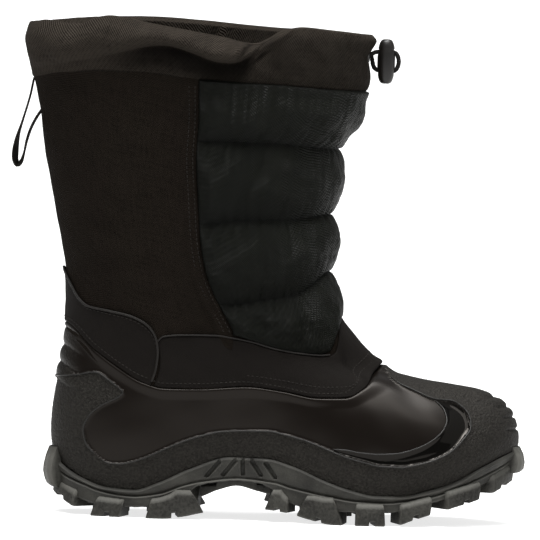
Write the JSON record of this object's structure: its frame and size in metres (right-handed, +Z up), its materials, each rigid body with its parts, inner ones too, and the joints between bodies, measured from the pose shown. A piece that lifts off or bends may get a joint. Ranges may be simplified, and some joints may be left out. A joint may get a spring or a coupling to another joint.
{
  "type": "snow boot",
  "caption": "Pull-on winter boot with a lugged outsole, rubber galosh, woven shaft, quilted shin panel and a drawcord collar; one shoe, standing empty.",
  "frame": {"origin": "on the ground, under the middle of the boot's length and width", "axes": "+X towards the toe, +Y towards the inner side of this right boot, +Z up; the sole rests on Z = 0"},
  "size_m": [0.3143, 0.1181, 0.2996],
  "materials": {
    "outsole_rubber": "matte moulded",
    "galosh_rubber": "satin, with glossy sides and a grained toe and heel",
    "woven_fabric": "woven, matte",
    "insole_felt": "felted",
    "quilt_nylon": "slightly shiny nylon",
    "collar_fabric": "twill, matte",
    "eyelet_metal": "black lacquer",
    "cord": "braided",
    "stopper_plastic": "semi-gloss",
    "loop_tape": "woven tape"
  },
  "bodies": {
    "root": {"outsole": "outsole_rubber", "shell": "galosh_rubber", "upper": "woven_fabric", "insole": "insole_felt", "quilted_panel": "quilt_nylon", "collar": "collar_fabric", "eyelet": "eyelet_metal", "drawcord": "cord", "cord_stopper": "stopper_plastic", "pull_loop": "loop_tape"}
  },
  "joints": []
}
